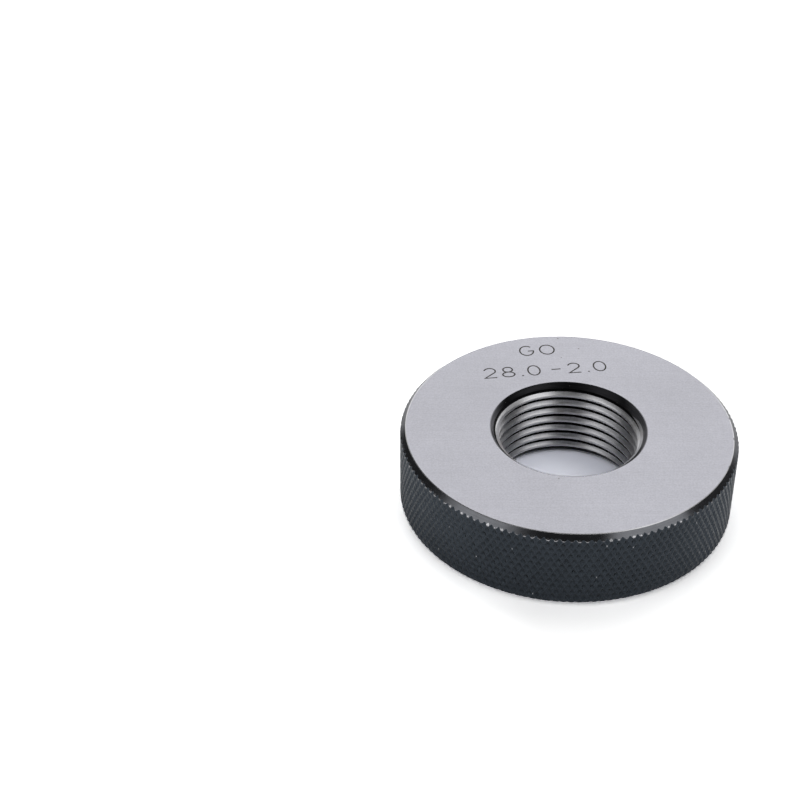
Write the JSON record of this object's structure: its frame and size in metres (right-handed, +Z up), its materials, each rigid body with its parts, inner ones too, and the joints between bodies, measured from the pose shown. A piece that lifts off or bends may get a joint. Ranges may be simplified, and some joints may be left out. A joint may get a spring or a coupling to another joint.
{
  "type": "thread ring gauge",
  "caption": "Solid steel go thread ring gauge with a threaded bore, countersunk mouths and a diamond-knurled rim, lying on its face.",
  "frame": {"origin": "middle of the lower face, on the bore's axis", "axes": "+Z up along the bore's axis; the thread's start has no fixed azimuth in use"},
  "size_m": [0.063, 0.063, 0.016],
  "materials": {
    "gauge_steel": "ground faces and thread, black oxide on the knurled rim, the rim chamfers and the mouths"
  },
  "bodies": {
    "root": {"ring_gauge": "gauge_steel"}
  },
  "joints": []
}
